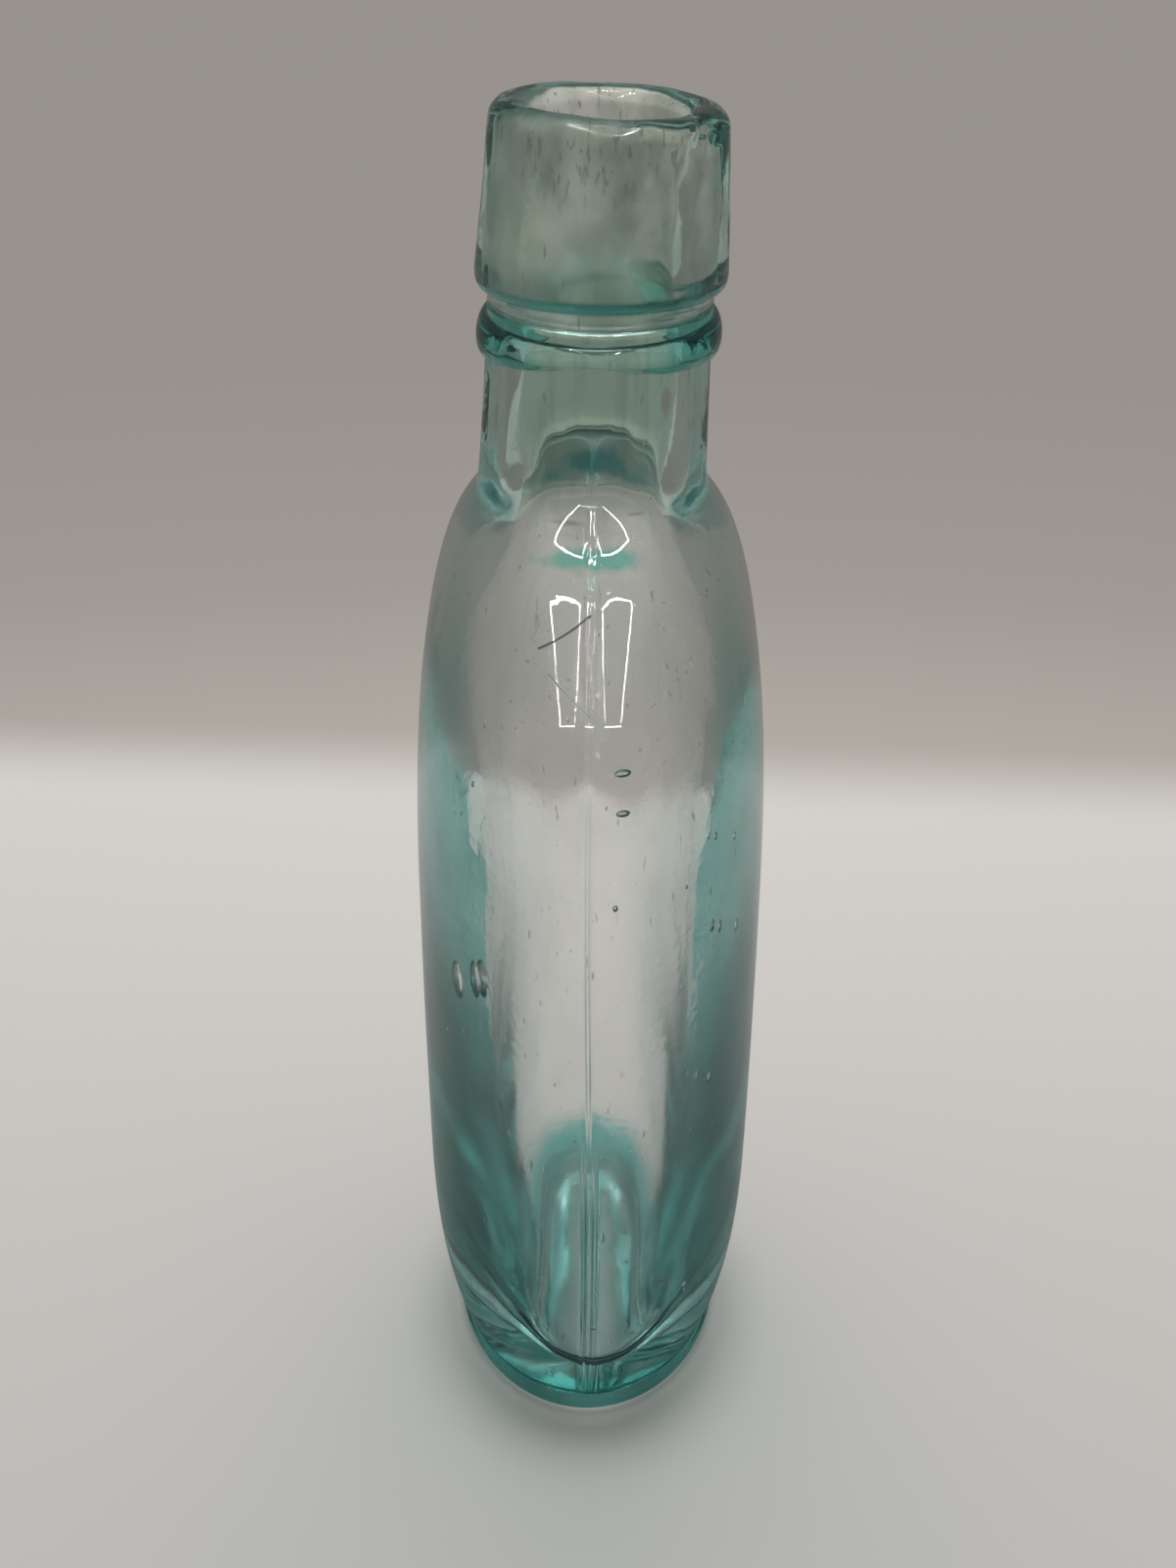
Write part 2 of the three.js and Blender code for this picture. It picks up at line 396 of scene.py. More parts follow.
# Bubbles and seeds in the wall: place on the outside, direction out, half sizes across, up and deep, depth
bubbleValues = {
    "seen": (
        ((29.35, -15.88, 68.46), (0.54, -0.84, -0.05), (1.3, 2.7, 0.7), 1.0),
        ((38.73, 3.84, 101.66), (0.89, 0.29, 0.37), (0.95, 0.45, 0.35), 1.0),
        ((40.16, 3.88, 97.25), (0.93, 0.3, 0.22), (0.8, 0.4, 0.35), 1.0),
        ((26.04, 17.7, 74.37), (0.42, 0.91, -0.03), (0.5, 0.9, 0.4), 1.2),
        ((27.66, 16.97, 87.55), (0.4, 0.91, 0.02), (0.35, 0.6, 0.3), 1.0),
        ((28.92, 14.99, 54.27), (0.56, 0.83, -0.08), (0.45, 1.0, 0.4), 1.2),
        ((40.63, 2.92, 85.09), (1.0, 0.08, -0.05), (0.3, 0.45, 0.25), 1.0),
        ((31.28, 5.05, 27.45), (0.95, 0.23, -0.21), (0.25, 0.35, 0.2), 1.0),
        ((24.65, 12.82, 18.68), (0.71, 0.67, -0.19), (0.5, 0.6, 0.3), 1.2),
    ),
    "seeds": 26,
    "seedDraw": 11,
    "seedHeights": (14.0, 108.0),
    "seedHalf": (0.12, 0.3),
    "seedStretch": 1.5,
    "seedDepth": 1.0,
    "rings": 8,
    "sides": 12,
}


def bubbleShell(place, out, half, depth):
    v = bubbleValues
    out = np.array(out) / np.linalg.norm(out)
    along = np.cross((0, 0, 1), out)
    along /= np.linalg.norm(along)
    axes = np.array([along, np.cross(out, along), out]) * np.array(half)[:, None]
    turns = np.linspace(0, 2 * math.pi, v["sides"], endpoint=False)
    tilts = np.linspace(0, math.pi, v["rings"] + 1)[1:-1]
    ring = [(math.sin(t) * math.cos(a), math.sin(t) * math.sin(a), math.cos(t)) for t in tilts for a in turns]
    points = np.array(ring + [(0, 0, 1), (0, 0, -1)]) @ axes + np.array(place) - out * depth
    count = len(tilts)
    faces = gridFaces(count, v["sides"], False)
    faces += poleFaces(v["sides"], 0, count * v["sides"], True)
    faces += poleFaces(v["sides"], (count - 1) * v["sides"], count * v["sides"] + 1, False)
    return points, faces


def seedPlaces(grid, normals, kinds):
    v = bubbleValues
    dice = np.random.RandomState(v["seedDraw"])
    heights = grid[:, 0, 2]
    low, high = v["seedHeights"]
    allowed = np.where((kinds == 1) & (heights > low) & (heights < high))[0]
    rows = dice.choice(allowed, v["seeds"])
    cols = dice.randint(0, len(columns), v["seeds"])
    sizes = dice.uniform(*v["seedHalf"], v["seeds"])
    found = []
    for row, col, size in zip(rows, cols, sizes):
        half = (size, size * v["seedStretch"], size)
        found.append((grid[row, col], normals[row, col], half, v["seedDepth"]))
    return found


# How far each point moves out: waves, streaks drawn along the neck, and the seams
def bodyMove(grid, kinds):
    v = bodyValues
    up = grid[..., 2]
    move = np.zeros(grid.shape[:2])
    start, full, fade, end = v["neckWaveHeights"]
    drawn = smooth(up, start, full) * (1 - smooth(up, fade, end)) * ripple(grid, *v["neckRipple"])

    outer = kinds == 1
    height, fineShare = v["outerWaves"]
    low, high = v["outerWaveFade"]
    waves = ripple(grid[outer], *v["outerRipple"]) + fineShare * ripple(grid[outer], *v["outerFineRipple"])
    fade = smooth(up[outer], v["grooveTop"], v["grooveTop"] + low) * (1 - smooth(up[outer], neckEnd - high, neckEnd))
    move[outer] = height * waves * fade + seamMove(grid[outer])
    move[outer] += v["neckWaves"][1] * drawn[outer]

    inner = kinds == -1
    height, fineShare = v["innerWaves"]
    waves = ripple(grid[inner], *v["innerRipple"]) + fineShare * ripple(grid[inner], *v["innerFineRipple"])
    fade = 1 - smooth(up[inner], neckEnd - v["innerWaveFade"], neckEnd)
    move[inner] = height * waves * fade
    move[inner] += v["neckWaves"][0] * drawn[inner]
    fade = 1 - smooth(up[inner], *v["floorWaveHeights"])
    move[inner] += v["floorWaves"] * ripple(grid[inner], *v["floorRipple"]) * fade

    under = kinds == 2
    move[under] = v["floorWaves"] * ripple(grid[under], *v["underRipple"]) * up[under] / v["pushUp"]
    return move


# How far the inside bottom rises towards the broad faces, so that it is a trough
def troughRise(points):
    v = bodyValues
    deep = innerHalf(1, v["floorThickness"] + v["bowlRise"])
    lift = np.abs((points[..., 1] - v["troughAside"]) / deep) ** v["troughPower"]
    fade = 1 - smooth(points[..., 2], *v["troughHeights"])
    return v["troughLift"] * np.minimum(lift, v["troughLimit"]) * fade


def makeBody():
    v = bodyValues
    plain, kinds = bodyRows()
    normals = gridNormals(plain, False)
    inner = kinds == -1
    grid = plain + normals * bodyMove(plain, kinds)[..., None]
    grid[inner, :, 2] += troughRise(plain[inner])
    bubbles = list(bubbleValues["seen"]) + seedPlaces(grid, normals, kinds)
    grid = leaned(grid)

    cols, count = len(columns), len(grid)
    points = [grid.reshape(-1, 3), [[0, 0, v["pushUp"]]], [[0, 0, v["floorThickness"]]]]
    faces = gridFaces(count, cols, False)
    faces += poleFaces(cols, 0, count * cols, True)
    faces += poleFaces(cols, (count - 1) * cols, count * cols + 1, False)
    outside = list(np.repeat(kinds >= 0, cols)) + [1, 0]
    start = count * cols + 2
    for bubble in bubbles:
        shell, shellFaces = bubbleShell(*bubble)
        points.append(shell)
        faces += [tuple(start + i for i in face) for face in shellFaces]
        start += len(shell)
        outside += [0] * len(shell)
    return makeMesh("flaskBodyGlass", np.concatenate(points), faces, outside)


bodyGlass = makeBody()
print("body made", len(bodyGlass.data.polygons))

# Ring wound round the neck, with a sagging lower edge and a thinner front
ringValues = {
    "top": neckEnd - 1.6,
    "height": 5.4,
    "stand": 1.2,
    "sunk": 0.35,
    "sag": 0.8,
    "sagWaves": 2.1,
    "sagSeed": 5.3,
    "sagTop": 1.5,
    "thinning": (2.6, 0.9),
}


def makeRing():
    v = ringValues
    low, high = v["top"] - v["height"], v["top"]
    # A cubic curve stands out three quarters as far as the points that pull it
    bulge = neckRadius + v["stand"] * 4 / 3
    innerRadius = neckRadius - v["sunk"]
    profile = np.concatenate([
        curve([(neckRadius, low), (bulge, low), (bulge, high), (neckRadius, high)], 26),
        curve([(innerRadius, high), (innerRadius, low)], 8),
    ])
    grid = np.array([section(radius, radius, 2, up) for radius, up in profile])
    below = 1 - smooth(grid[..., 2], low, high - v["sagTop"])
    angle = np.arctan2(grid[..., 1], grid[..., 0])
    circle = np.stack([np.cos(angle), np.sin(angle), 0 * angle], -1) * v["sagWaves"]
    thinning, frontWidth = v["thinning"]
    sag = v["sag"] * ripple(circle, (1, 1, 1), v["sagSeed"]) - thinning * bell(angle, 0, frontWidth)
    grid[..., 2] -= below * sag
    grid = leaned(grid)
    outside = profile[:, 0] > innerRadius + v["sunk"] / 3
    faces = gridFaces(len(profile), len(columns), True)
    return makeMesh("stringRingGlass", grid.reshape(-1, 3), faces, np.repeat(outside, len(columns)))


ringGlass = makeRing()
print("ring made", len(ringGlass.data.polygons))

# Collar laid on the neck's end, askew and chipped: the chip's depth, turn, width, height and tallness
collarValues = {
    "stand": 1.55,
    "topStand": 0.5,
    "flare": 2.4,
    "mouthDiameter": 17.5,
    "lipRise": 2.4,
    "sunk": 0.3,
    "clearance": 0.02,
    "step": 0.1,
    "lipWidth": 1.5,
    "askew": 4.5,
    "waves": (0.15, 0.5),
    "waveFade": 2.0,
    "ripple": ((6, 6, 9), 41.0),
    "fineRipple": ((2.5, 2.5, 5), 47.0),
    "chip": (0.7, 0.95, 0.22, 163.6, 1.3),
    "chipWaves": 0.8,
    "chipRipple": ((1.2, 1.2, 1.2), 63.0),
}


def makeCollar():
    v = collarValues
    lower, upper = neckRadius + v["stand"], neckRadius + v["topStand"]
    mouth = v["mouthDiameter"] / 2
    lipFoot = flaskValues["height"] - v["lipRise"]
    lipPull = flaskValues["height"] + v["lipRise"] / 3
    foot, flareTop = neckEnd - v["sunk"], neckEnd + v["flare"]
    stepUp = neckEnd + v["step"]
    boreFoot, neckFoot = (boreRadius + v["clearance"], foot), (neckRadius - v["clearance"], foot)
    profile = np.concatenate([
        curve([boreFoot, neckFoot], 6)[:-1],
        [neckFoot, (neckRadius, neckEnd)],
        curve([(neckRadius, stepUp), (lower, stepUp), (lower, flareTop)], 12),
        curve([(lower, flareTop), (upper, lipFoot)], 24)[1:],
        curve([(upper, lipFoot), (upper, lipPull), (mouth, lipPull), (mouth, lipFoot)], 28)[1:],
        curve([(mouth, lipFoot), boreFoot], 24)[1:-1],
    ])
    outside = (profile[:, 0] > mouth + v["lipWidth"]) & (profile[:, 1] > foot + v["step"])
    grid = np.array([section(radius, radius, 2, up) for radius, up in profile])
    normals = gridNormals(grid, True)
    height, fineShare = v["waves"]
    fade = smooth(grid[..., 2], neckEnd, neckEnd + v["waveFade"])
    move = height * fade * (ripple(grid, *v["ripple"]) + fineShare * ripple(grid, *v["fineRipple"]))
    depth, turn, wide, up, tall = v["chip"]
    angle = np.arctan2(grid[..., 1], grid[..., 0])
    chip = bell(angle, turn, wide) * bell(grid[..., 2], up, tall) * outside[:, None]
    move -= depth * chip * (1 + v["chipWaves"] * ripple(grid, *v["chipRipple"]))
    raisedFrom = np.where(profile[:, :1] > neckRadius - v["step"], stepUp, lipFoot)
    raised = smooth(grid[..., 2], neckEnd, raisedFrom)
    grid = grid + normals * move[..., None]
    grid[..., 2] += (grid[..., 0] + neckRadius) * math.tan(math.radians(v["askew"])) * raised
    grid = leaned(grid)
    faces = gridFaces(len(profile), len(columns), True)
    return makeMesh("collarGlass", grid.reshape(-1, 3), faces, np.repeat(outside, len(columns)))


collarGlass = makeCollar()
print("collar made", len(collarGlass.data.polygons))

# Stretch of a grain that is the same all ways
evenly = (1.0, 1.0, 1.0)


# Small makers of shader nodes; a value may be a number, a colour or another node's socket
def feed(tree, socket, value):
    if isinstance(value, bpy.types.NodeSocket):
        tree.links.new(value, socket)
    elif socket.type == "VECTOR":
        socket.default_value = value[:3]
    else:
        socket.default_value = value


def figure(tree, operation, *values):
    node = tree.nodes.new("ShaderNodeMath")
    node.operation = operation
    for socket, value in zip(node.inputs, values):
        feed(tree, socket, value)
    return node.outputs[0]


def arrow(tree, operation, *values):
    node = tree.nodes.new("ShaderNodeVectorMath")
    node.operation = operation
    for socket, value in zip(node.inputs, values):
        feed(tree, socket, value)
    return node.outputs["Value"] if operation in ("LENGTH", "DOT_PRODUCT") else node.outputs["Vector"]


def ramped(tree, value, low, high, kind="SMOOTHSTEP"):
    node = tree.nodes.new("ShaderNodeMapRange")
    node.interpolation_type = kind
    feed(tree, node.inputs["Value"], value)
    node.inputs["From Min"].default_value = low
    node.inputs["From Max"].default_value = high
    return node.outputs["Result"]


def without(tree, value, taken):
    return figure(tree, "SUBTRACT", value, figure(tree, "MULTIPLY", value, taken))


def between(tree, share, first, second):
    node = tree.nodes.new("ShaderNodeMix")
    for socket, value in zip((node.inputs["Factor"], node.inputs["A"], node.inputs["B"]), (share, first, second)):
        feed(tree, socket, value)
    return node.outputs["Result"]


def mixed(tree, share, first, second):
    node = tree.nodes.new("ShaderNodeMix")
    node.data_type = "RGBA"
    feed(tree, node.inputs["Factor"], share)
    feed(tree, node.inputs[6], first)
    feed(tree, node.inputs[7], second)
    return node.outputs[2]


def grain(tree, place, scale, stretch, detail):
    node = tree.nodes.new("ShaderNodeTexNoise")
    node.inputs["Scale"].default_value = scale
    node.inputs["Detail"].default_value = detail
    feed(tree, node.inputs["Vector"], arrow(tree, "MULTIPLY", place, stretch))
    return node.outputs["Fac"]


def placeOf(tree):
    return tree.nodes.new("ShaderNodeTexCoord").outputs["Object"]


def partsOf(tree, value):
    node = tree.nodes.new("ShaderNodeSeparateXYZ")
    feed(tree, node.inputs[0], value)
    return node.outputs


def outsideOf(tree):
    node = tree.nodes.new("ShaderNodeAttribute")
    node.attribute_name = "outside"
    return node.outputs["Fac"]


def newGroup(name, inputs, outputs):
    tree = bpy.data.node_groups.new(name, "ShaderNodeTree")
    for label, kind in inputs:
        tree.interface.new_socket(label, in_out="INPUT", socket_type=kind)
    for label, kind in outputs:
        tree.interface.new_socket(label, in_out="OUTPUT", socket_type=kind)
    return tree, tree.nodes.new("NodeGroupInput"), tree.nodes.new("NodeGroupOutput")


def useGroup(tree, group, **values):
    node = tree.nodes.new("ShaderNodeGroup")
    node.node_tree = group
    for label, value in values.items():
        feed(tree, node.inputs[label], value)
    return node.outputs


# Wear that all the glass has, each with its scale, limits and blur: a cloudy film, upright scratches and pits
wearValues = {
    "polish": 0.015,
    "film": (55.0, 0.46, 0.74, 0.06),
    "scratches": (1.0, 0.72, 0.78, 0.2),
    "scratchStretch": (1400.0, 1400.0, 260.0),
    "pits": (300.0, 0.05, 0.085, 0.3),
    "pitGroups": (50.0, 0.5, 0.62),
    "ripples": (90.0, 700.0, 0.4),
    "patchGrain": 500.0,
    "patchEdge": (0.9, 1.6),
}


def makeWear():
    v = wearValues
    labels = ("Roughness", "Height", "Specks", "Film")
    outputs = [(label, "NodeSocketFloat") for label in labels]
    tree, _, end = newGroup("wornGlass", (), outputs)
    place = placeOf(tree)
    scale, low, high, filmBlur = v["film"]
    film = ramped(tree, grain(tree, place, scale, evenly, 4.0), low, high)
    scale, low, high, scratchBlur = v["scratches"]
    scratches = ramped(tree, grain(tree, place, scale, v["scratchStretch"], 1.0), low, high)
    scale, low, high, pitBlur = v["pits"]
    cells = tree.nodes.new("ShaderNodeTexVoronoi")
    cells.inputs["Scale"].default_value = scale
    feed(tree, cells.inputs["Vector"], place)
    away = ramped(tree, cells.outputs["Distance"], low, high)
    scale, low, high = v["pitGroups"]
    groups = ramped(tree, grain(tree, place, scale, evenly, 0.0), low, high)
    pits = without(tree, groups, away)
    rough = figure(tree, "MULTIPLY_ADD", film, filmBlur, v["polish"])
    rough = figure(tree, "MULTIPLY_ADD", scratches, scratchBlur, rough)
    rough = figure(tree, "MULTIPLY_ADD", pits, pitBlur, rough)
    marks = figure(tree, "MULTIPLY", figure(tree, "MAXIMUM", scratches, pits), outsideOf(tree))
    broad, fine, fineShare = v["ripples"]
    beads = figure(tree, "MULTIPLY", grain(tree, place, fine, evenly, 1.0), fineShare)
    waves = figure(tree, "ADD", grain(tree, place, broad, evenly, 0.0), beads)
    height = figure(tree, "SUBTRACT", waves, marks)
    for label, value in zip(labels, (rough, height, marks, film)):
        tree.links.new(value, end.inputs[label])
    return tree


# A soft oval patch round a place, and a line between two places on the side that faces the camera
def makePatch():
    inputs = (("Middle", "NodeSocketVector"), ("Size", "NodeSocketVector"))
    tree, start, end = newGroup("softPatch", inputs, (("Mask", "NodeSocketFloat"),))
    place = placeOf(tree)
    away = arrow(tree, "DIVIDE", arrow(tree, "SUBTRACT", place, start.outputs["Middle"]), start.outputs["Size"])
    uneven = grain(tree, place, wearValues["patchGrain"], evenly, 3.0)
    reach = figure(tree, "ADD", arrow(tree, "LENGTH", away), uneven)
    beyond = ramped(tree, reach, *wearValues["patchEdge"])
    tree.links.new(figure(tree, "SUBTRACT", 1.0, beyond), end.inputs["Mask"])
    return tree


def makeLine():
    inputs = (("From", "NodeSocketVector"), ("Along", "NodeSocketVector"), ("Width", "NodeSocketFloat"))
    tree, start, end = newGroup("scratchLine", inputs, (("Mask", "NodeSocketFloat"),))
    place = placeOf(tree)
    flat = arrow(tree, "MULTIPLY", arrow(tree, "SUBTRACT", place, start.outputs["From"]), (0.0, 1.0, 1.0))
    along = start.outputs["Along"]
    share = figure(tree, "DIVIDE", arrow(tree, "DOT_PRODUCT", flat, along), arrow(tree, "DOT_PRODUCT", along, along))
    share = figure(tree, "MINIMUM", figure(tree, "MAXIMUM", share, 0.0), 1.0)
    away = arrow(tree, "LENGTH", arrow(tree, "SUBTRACT", flat, arrow(tree, "MULTIPLY", along, share)))
    near = figure(tree, "GREATER_THAN", partsOf(tree, place)["X"], 0.0)
    near = figure(tree, "MULTIPLY", near, outsideOf(tree))
    drawn = figure(tree, "LESS_THAN", away, start.outputs["Width"])
    tree.links.new(figure(tree, "MULTIPLY", drawn, near), end.inputs["Mask"])
    return tree


wear, patch, line = makeWear(), makePatch(), makeLine()

# Aqua glass: what all three pieces share, how deep each one's colour is, and the ring's painted shade: clear in
# front and deeper teal at its left and right sides
glassValues = {
    "ior": 1.5,
    "absorb": (0.08, 0.915, 0.85, 1),
    "bodyDensity": 10.5,
    "ringDensity": 110.0,
    "collarDensity": 16.0,
    "clear": (0.96, 0.945, 0.94, 1),
    "filmTint": (0.80, 0.81, 0.77, 1),
    "filmShare": 0.35,
    "ringSides": (0.005, 0.0115),
    "ringShadeTints": ((0.97, 0.98, 0.97, 1), (0.28, 0.84, 0.81, 1)),
    "speckTint": (0.36, 0.37, 0.33, 1),
    "ripple": (0.06, 0.0004),
    "shadowTint": (0.98, 0.96, 0.96, 1),
    "footShadowTint": (0.42, 0.45, 0.44, 1),
    "footShadowHeights": (0.006, 0.020),
    "levelFaces": (0.6, 0.9),
}


# Where the surface lies level, as under the base
def levelOf(tree):
    facing = partsOf(tree, tree.nodes.new("ShaderNodeNewGeometry").outputs["True Normal"])
    return ramped(tree, figure(tree, "ABSOLUTE", facing["Z"]), *glassValues["levelFaces"])


# Where a ray enters the glass from outside
def enteringOf(tree, outside):
    return without(tree, outside, tree.nodes.new("ShaderNodeNewGeometry").outputs["Backfacing"])


def makeGlass(name, density, paint):
    v = glassValues
    material = bpy.data.materials.new(name)
    material.use_nodes = True
    tree = material.node_tree
    nodes, links = tree.nodes, tree.links
    shader = nodes["Principled BSDF"]
    parts = partsOf(tree, placeOf(tree))
    worn = useGroup(tree, wear)
    colour, rough = paint(tree, parts, worn["Roughness"])
    film = figure(tree, "MULTIPLY", worn["Film"], v["filmShare"])
    colour = mixed(tree, film, colour, arrow(tree, "MULTIPLY", colour, v["filmTint"]))
    links.new(mixed(tree, worn["Specks"], colour, v["speckTint"]), shader.inputs["Base Color"])
    links.new(rough, shader.inputs["Roughness"])
    bump = nodes.new("ShaderNodeBump")
    bump.inputs["Strength"].default_value, bump.inputs["Distance"].default_value = v["ripple"]
    links.new(worn["Height"], bump.inputs["Height"])
    links.new(bump.outputs["Normal"], shader.inputs["Normal"])
    shader.inputs["IOR"].default_value = v["ior"]
    shader.inputs["Transmission Weight"].default_value = 1
    volume = nodes.new("ShaderNodeVolumeAbsorption")
    volume.inputs["Color"].default_value = v["absorb"]
    volume.inputs["Density"].default_value = density
    links.new(volume.outputs["Volume"], nodes["Material Output"].inputs["Volume"])
    clear = nodes.new("ShaderNodeBsdfTransparent")
    foot = figure(tree, "MAXIMUM", ramped(tree, parts["Z"], *v["footShadowHeights"]), levelOf(tree))
    links.new(mixed(tree, foot, v["footShadowTint"], v["shadowTint"]), clear.inputs["Color"])
    mix = nodes.new("ShaderNodeMixShader")
    links.new(nodes.new("ShaderNodeLightPath").outputs["Is Shadow Ray"], mix.inputs["Fac"])
    links.new(shader.outputs[0], mix.inputs[1])
    links.new(clear.outputs[0], mix.inputs[2])
    links.new(mix.outputs[0], nodes["Material Output"].inputs["Surface"])
    return material


# How the colour changes over the body, in metres: neck, faces, heel, foot, haze, patches, stains and scratches; the
# faces' bands and the neck's sides are painted shade, and the patches are a painted glint and painted shade
bodyPaintValues = {
    "neck": ((0.116, 0.127), (0.66, 0.76, 0.71, 1)),
    "faces": ((0.0115, 0.0165), (0.002, 0.026)),
    # Painted shade: deeper teal on the broad faces for their dark edge bands, on the shoulder and strongest low down
    "shoulderBandShade": ((0.092, 0.105), (0.28, 0.56, 0.53, 1)),
    "lowBandShade": ((0.040, 0.080), (0.18, 0.46, 0.45, 1)),
    "heel": ((0.0090, 0.0100), (0.40, 0.80, 0.77, 1)),
    "floor": ((0.0058, 0.0066), (0.50, 0.97, 0.92, 1)),
    "foot": ((0.004, 0.012), (0.05, 0.45, 0.42, 1)),
    "haze": ((0.006, 0.011), (0.020, 0.030), (0.045, 0.070)),
    "hazeBlur": (0.16, 0.6),
    "streaks": ((520.0, 520.0, 34.0), (0.47, 0.62), (0.118, 0.128), (0.50, 0.60, 0.56, 1)),
    # Painted shade: deeper teal at the left and right sides of the neck's root
    "neckSideShade": ((0.0095, 0.0125), (0.116, 0.121), (0.58, 0.86, 0.83, 1)),
    "paintedLightPatches": (
        # Painted glint: a teal patch at the front root of the neck
        ((0.020, 0.0004, 0.1189), (0.004, 0.0075, 0.0014), (0.12, 0.72, 0.56, 1)),
        # Painted shade: darker teal either side of the front root of the neck
        ((0.0115, -0.0102, 0.1216), (0.0030, 0.0022, 0.0034), (0.26, 0.46, 0.44, 1)),
        ((0.0115, 0.0104, 0.1216), (0.0030, 0.0022, 0.0034), (0.26, 0.46, 0.44, 1)),
        # Painted shade: the dark arc of the far neck root that shows through the neck
        ((-0.0095, -0.0060, 0.1180), (0.0040, 0.0030, 0.0030), (0.25, 0.62, 0.62, 1)),
        ((-0.0095, 0.0068, 0.1180), (0.0040, 0.0030, 0.0030), (0.25, 0.62, 0.62, 1)),
        ((-0.0112, 0.0004, 0.1196), (0.0045, 0.0075, 0.0026), (0.05, 0.36, 0.39, 1)),
        # Painted shade: dims a glint on the +Y side of the inside bottom
        ((-0.0050, 0.0060, 0.0070), (0.0140, 0.0035, 0.0040), (0.34, 0.50, 0.47, 1)),
    ),
    "stains": (
        ((0.0106, 0.0083, 0.1343), (0.002, 0.0007, 0.0022)),
        ((0.0149, -0.0030, 0.1216), (0.002, 0.0026, 0.0003)),
        ((0.0139, 0.0050, 0.1222), (0.002, 0.0012, 0.00025)),
    ),
    "stainTint": (0.48, 0.40, 0.30, 1),
    "scratches": (
        ((0, -0.0059, 0.1123), (0, 0.0058, 0.0025), 0.00010, (0.16, 0.17, 0.16, 1)),
        ((0, -0.0047, 0.1104), (0, 0.0062, -0.0048), 0.00008, (0.70, 0.71, 0.69, 1)),
    ),
}


def paintBody(tree, parts, rough):
    v = bodyPaintValues
    clear = glassValues["clear"]
    tint = mixed(tree, ramped(tree, parts["Z"], *v["lowBandShade"][0]), v["lowBandShade"][1], clear)
    tint = mixed(tree, ramped(tree, parts["Z"], *v["shoulderBandShade"][0]), tint, v["shoulderBandShade"][1])
    # Painted shade: the broad faces are tinted where a ray enters them, for the dark teal bands at their edges
    deep = ramped(tree, figure(tree, "ABSOLUTE", parts["Y"]), *v["faces"][0])
    across = ramped(tree, figure(tree, "ABSOLUTE", parts["X"]), *v["faces"][1])
    outside = outsideOf(tree)
    entering = enteringOf(tree, outside)
    faces = figure(tree, "MULTIPLY", figure(tree, "MULTIPLY", deep, across), entering)
    colour = mixed(tree, faces, clear, tint)
    floor = mixed(tree, ramped(tree, parts["Z"], *v["floor"][0]), v["floor"][1], v["heel"][1])
    above = figure(tree, "MAXIMUM", ramped(tree, parts["Z"], *v["heel"][0]), outside)
    colour = mixed(tree, above, floor, colour)
    sides, front, heights = v["haze"]
    blur, frontShare = v["hazeBlur"]
    haze = ramped(tree, figure(tree, "ABSOLUTE", parts["Y"]), *sides)
    haze = figure(tree, "MAXIMUM", haze, figure(tree, "MULTIPLY", ramped(tree, parts["X"], *front), frontShare))
    haze = without(tree, haze, figure(tree, "MAXIMUM", ramped(tree, parts["Z"], *heights), outside))
    rough = figure(tree, "MULTIPLY_ADD", haze, blur, rough)
    low = figure(tree, "SUBTRACT", 1.0, ramped(tree, parts["Z"], *v["foot"][0]))
    upright = without(tree, outside, levelOf(tree))
    colour = mixed(tree, figure(tree, "MULTIPLY", low, upright), colour, v["foot"][1])
    colour = mixed(tree, ramped(tree, parts["Z"], *v["neck"][0]), colour, v["neck"][1])
    stretch, limits, heights, tint = v["streaks"]
    streaks = ramped(tree, grain(tree, placeOf(tree), 1.0, stretch, 2.0), *limits)
    streaks = figure(tree, "MULTIPLY", streaks, ramped(tree, parts["Z"], *heights))
    colour = mixed(tree, figure(tree, "MULTIPLY", streaks, entering), colour, tint)
    # Painted shade: the neck root's sides are tinted where a ray enters them
    sides, heights, tint = v["neckSideShade"]
    sides = ramped(tree, figure(tree, "ABSOLUTE", parts["Y"]), *sides)
    sides = figure(tree, "MULTIPLY", sides, ramped(tree, parts["Z"], *heights))
    colour = mixed(tree, figure(tree, "MULTIPLY", sides, entering), colour, tint)
    # Patches of painted glint and painted shade
    for middle, size, tint in v["paintedLightPatches"]:
        colour = mixed(tree, useGroup(tree, patch, Middle=middle, Size=size)["Mask"], colour, tint)
    for middle, size in v["stains"]:
        colour = mixed(tree, useGroup(tree, patch, Middle=middle, Size=size)["Mask"], colour, v["stainTint"])
    for start, along, width, tint in v["scratches"]:
        mask = useGroup(tree, line, From=start, Along=along, Width=width)["Mask"]
        colour = mixed(tree, mask, colour, tint)
        rough = figure(tree, "MAXIMUM", rough, mask)
    return colour, rough


def paintRing(tree, parts, rough):
    # Painted shade: the ring stays clear in front and turns deeper teal towards its sides
    sides = ramped(tree, figure(tree, "ABSOLUTE", parts["Y"]), *glassValues["ringSides"])
    return mixed(tree, sides, *glassValues["ringShadeTints"]), rough


# The collar is cloudy, its rough bore hides what is behind, and its lower edge has painted shade: a dark teal band
# where a ray enters it
collarPaintValues = {
    "cloud": ((0.57, 0.62, 0.56, 1), (0.96, 0.95, 0.92, 1)),
    "mottle": (170.0, (1.0, 1.0, 0.7), 0.38, 0.64),
    "rimScratches": ((1500.0, 1500.0, 420.0), (0.1550, 0.1635), (0.62, 0.70), (0.30, 0.31, 0.28, 1)),
    # Painted shade: a dark teal band along the lower edge
    "edge": ((-0.0003, 0.0002), (0.0015, 0.0021), (0.03, 0.28, 0.26, 1)),
    "bore": (0.0089, 0.0096, 0.30),
    "stain": ((0.0106, -0.0095, 0.1533), (0.006, 0.006, 0.006), (0.72, 0.78, 0.62, 1)),
}


